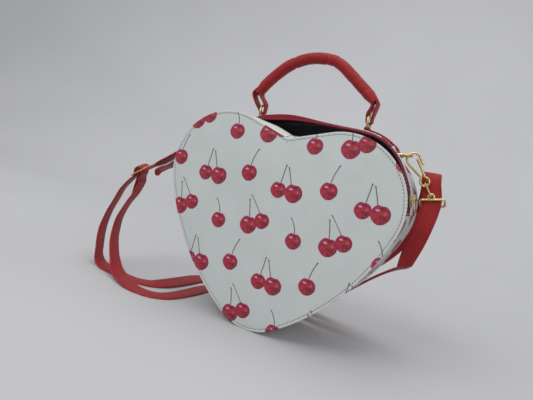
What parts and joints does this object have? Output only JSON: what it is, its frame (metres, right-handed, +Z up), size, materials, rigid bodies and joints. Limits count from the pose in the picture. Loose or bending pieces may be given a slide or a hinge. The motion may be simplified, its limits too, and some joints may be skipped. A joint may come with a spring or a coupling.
{
  "type": "heart shaped handbag",
  "caption": "Heart-shaped zipped handbag with a rolled carrying handle and a shoulder strap on snap hooks, cherry print.",
  "frame": {"origin": "the lowest point of the heart's rounded tip, midway between the front and back panels", "axes": "+X to the wearer's left when the printed front faces out, right in the front view; +Y to the back of the bag; +Z up through the cleft of the heart"},
  "size_m": [0.3734, 0.1529, 0.28],
  "materials": {
    "printed_leather": "fine matt grain with a repeating print of pairs and singles of cherries",
    "white_leather": "fine matt grain, plain white",
    "red_leather": "soft satin sheen with fine creases",
    "lining": "dark smooth weave",
    "foam": "soft open foam",
    "filler": "twisted cotton filler cord",
    "zip_tape": "ribbed woven tape",
    "zip_teeth": "smooth coil",
    "gold_metal": "pale gold plating"
  },
  "bodies": {
    "bag": {"front_panel": "printed_leather", "front_foam": "foam", "front_lining": "lining", "back_panel": "printed_leather", "back_foam": "foam", "back_lining": "lining", "base_gusset": "white_leather", "base_lining": "lining", "front_strip": "white_leather", "rear_strip": "white_leather", "rear_strip_lining": "lining", "front_zip_tape": "zip_tape", "rear_zip_tape": "zip_tape", "front_zip_teeth": "zip_teeth", "rear_zip_teeth": "zip_teeth", "zip_stops": "gold_metal", "left_band": "red_leather", "right_band": "red_leather", "left_swivel_link": "gold_metal", "right_swivel_link": "gold_metal", "left_strap_ring": "gold_metal", "right_strap_ring": "gold_metal", "shoulder_strap": "red_leather", "strap_adjuster": "gold_metal"},
    "handle": {"handle_grip": "red_leather", "handle_core": "filler", "left_handle_end": "red_leather", "right_handle_end": "red_leather", "left_handle_ring": "gold_metal", "right_handle_ring": "gold_metal"},
    "zip_slider": {"zip_slider": "gold_metal"},
    "zip_pull": {"zip_pull": "gold_metal"},
    "left_d_ring": {"left_d_ring": "gold_metal"},
    "right_d_ring": {"right_d_ring": "gold_metal"},
    "left_hook": {"left_hook": "gold_metal"},
    "right_hook": {"right_hook": "gold_metal"},
    "left_gate": {"left_gate": "gold_metal"},
    "right_gate": {"right_gate": "gold_metal"}
  },
  "joints": [
    {"name": "handle_swing", "type": "hinge", "parent": "bag", "child": "handle", "pos_m": [0, 0.014, 0.21764], "axis": [0.9969, 0, 0.0785], "range_deg": [-80, 80]},
    {"name": "zip_travel", "type": "hinge", "parent": "bag", "child": "zip_slider", "pos_m": [0.059, -0.013, 0.143], "axis": [0, 1, 0], "range_deg": [-64, 3]},
    {"name": "zip_pull_swing", "type": "hinge", "parent": "zip_slider", "child": "zip_pull", "pos_m": [0.11931, -0.013, 0.16099], "axis": [0, 1, 0], "range_deg": [-120, 0]},
    {"name": "right_d_ring_swing", "type": "hinge", "parent": "bag", "child": "right_d_ring", "pos_m": [0.09386, 0.014, 0.19667], "axis": [0, 1, 0], "range_deg": [0, 12]},
    {"name": "left_d_ring_swing", "type": "hinge", "parent": "bag", "child": "left_d_ring", "pos_m": [-0.09386, 0.014, 0.19667], "axis": [0, -1, 0], "range_deg": [0, 12]},
    {"name": "right_hook_swivel", "type": "hinge", "parent": "bag", "child": "right_hook", "pos_m": [0.12258, 0.014, 0.17707], "axis": [-0.5779, 0, 0.8161], "range_deg": [-10, 10]},
    {"name": "left_hook_swivel", "type": "hinge", "parent": "bag", "child": "left_hook", "pos_m": [-0.12258, 0.014, 0.17707], "axis": [0.5779, 0, 0.8161], "range_deg": [-10, 10]},
    {"name": "right_gate_spring", "type": "hinge", "parent": "right_hook", "child": "right_gate", "pos_m": [0.12291, 0.014, 0.18106], "axis": [0, -1, 0], "range_deg": [0, 14], "stiffness_Nm_per_rad": 0.004, "springref_deg": -8.59},
    {"name": "left_gate_spring", "type": "hinge", "parent": "left_hook", "child": "left_gate", "pos_m": [-0.12291, 0.014, 0.18106], "axis": [0, 1, 0], "range_deg": [0, 14], "stiffness_Nm_per_rad": 0.004, "springref_deg": -8.59}
  ]
}
